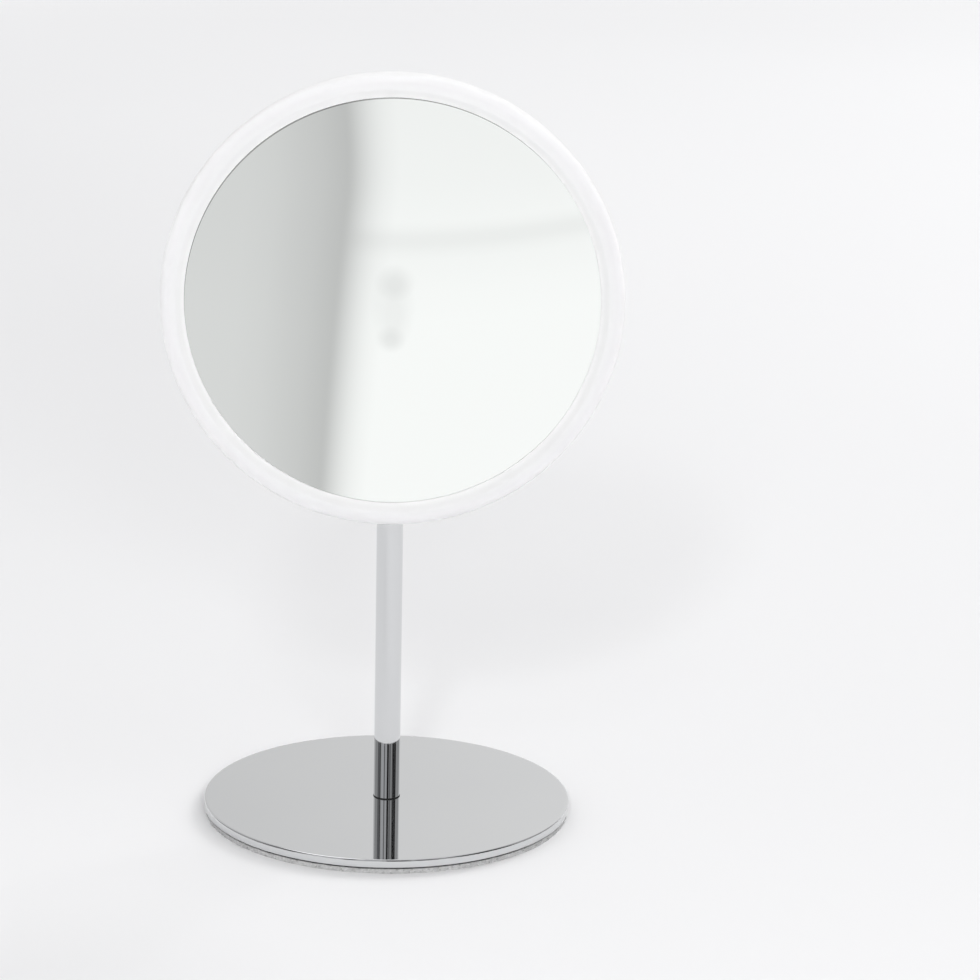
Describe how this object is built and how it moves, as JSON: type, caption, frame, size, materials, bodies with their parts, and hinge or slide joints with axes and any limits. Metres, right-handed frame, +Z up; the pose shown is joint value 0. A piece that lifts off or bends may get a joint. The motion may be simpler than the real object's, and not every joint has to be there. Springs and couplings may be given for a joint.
{
  "type": "table mirror",
  "caption": "Round soft-ringed make-up mirror that pulls off a tilting, swivelling dock on a chromed column and weighted round base.",
  "frame": {"origin": "middle of the base's underside, on the surface that the mirror stands on", "axes": "+Z up along the column; the mirror faces -Y at rest; +X to the right as seen from the front"},
  "size_m": [0.17, 0.14, 0.295],
  "materials": {
    "polished_chrome": "mirror-polished chrome plate",
    "zinc_steel": "bright zinc plate",
    "brass": "turned",
    "grey_foam": "closed-cell foam, cut edge",
    "white_foam": "closed-cell foam",
    "dark_tape": "matt adhesive tape",
    "black_rubber": "matt",
    "clear_silicone": "milky translucent silicone",
    "natural_nylon": "natural nylon",
    "soft_white": "soft-touch satin white",
    "matt_white": "fine moulded matt white",
    "gloss_white": "smooth gloss white",
    "mirror": "silvered glass"
  },
  "bodies": {
    "stand": {"base_pad": "grey_foam", "pad_tape": "dark_tape", "base_plate": "polished_chrome", "base_screw": "zinc_steel", "column_gasket": "black_rubber", "column_foot_insert": "brass", "column_tube": "polished_chrome", "swivel_bush": "brass", "swivel_slip_washer": "natural_nylon"},
    "knuckle": {"swivel_knuckle": "polished_chrome", "swivel_washer": "zinc_steel", "swivel_spring_washer": "zinc_steel", "swivel_lock_nut": "zinc_steel"},
    "dock": {"tilt_fork": "polished_chrome", "tilt_screw": "polished_chrome", "tilt_slip_washers": "natural_nylon", "tilt_spring_washer": "zinc_steel", "tilt_cap_nut": "polished_chrome", "dock_disc": "gloss_white", "dock_screws": "zinc_steel"},
    "head": {"suction_cup": "clear_silicone", "cup_stud": "zinc_steel", "cup_washer": "zinc_steel", "cup_nut": "zinc_steel", "rear_shell": "matt_white", "head_screws": "zinc_steel", "glass_cushion": "white_foam", "mirror_glass": "mirror", "front_frame": "soft_white"}
  },
  "joints": [
    {"name": "swivel", "type": "hinge", "parent": "stand", "child": "knuckle", "pos_m": [0, 0, 0.1928], "axis": [0, 0, 1], "continuous": true},
    {"name": "tilt", "type": "hinge", "parent": "knuckle", "child": "dock", "pos_m": [0, 0, 0.21], "axis": [-1, 0, 0], "range_deg": [-12, 45]},
    {"name": "head_pull_off", "type": "slide", "parent": "dock", "child": "head", "axis": [0, -1, 0], "range_m": [0, 0.05]}
  ]
}
